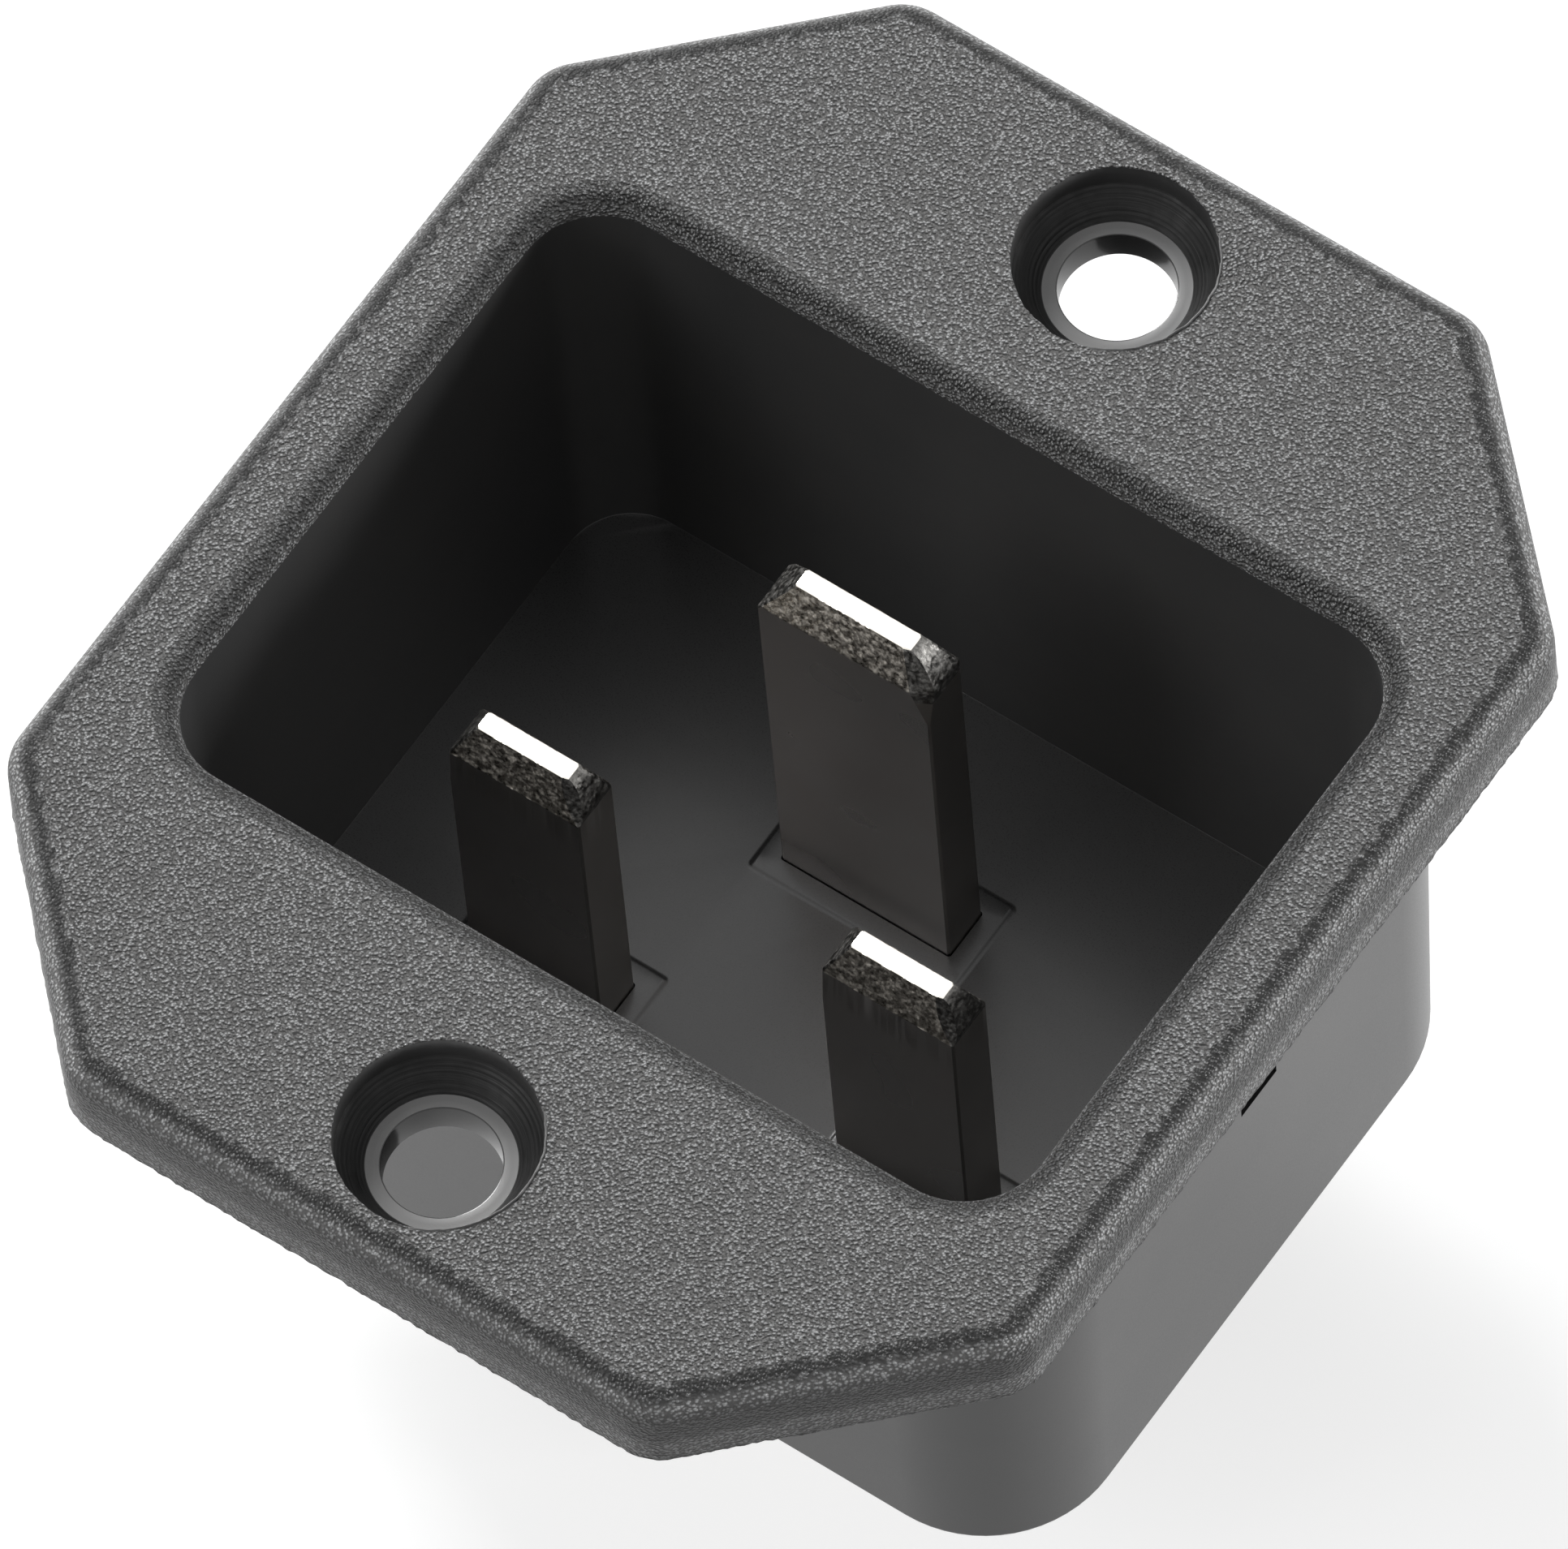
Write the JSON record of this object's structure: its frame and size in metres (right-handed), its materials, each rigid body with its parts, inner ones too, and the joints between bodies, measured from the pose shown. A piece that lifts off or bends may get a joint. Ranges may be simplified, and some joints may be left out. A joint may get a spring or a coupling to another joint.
{
  "type": "three-blade panel inlet",
  "caption": "Panel power inlet: eight-sided screw flange, deep rectangular connector recess with three flat blades, box body, push-on tabs.",
  "frame": {"origin": "midpoint between the two screw holes, on the back face of the flange, which lies on the panel", "axes": "+Z out of the connector recess, +Y from the recess centre towards the earth blade along the line of the screws, +X along the long side of the recess"},
  "size_m": [0.0416, 0.05, 0.0322],
  "materials": {
    "moulding": "finely grained matte moulding",
    "plated_metal": "plated brass, bright"
  },
  "bodies": {
    "root": {"housing": "moulding", "line_blade": "plated_metal", "neutral_blade": "plated_metal", "earth_blade": "plated_metal"}
  },
  "joints": []
}
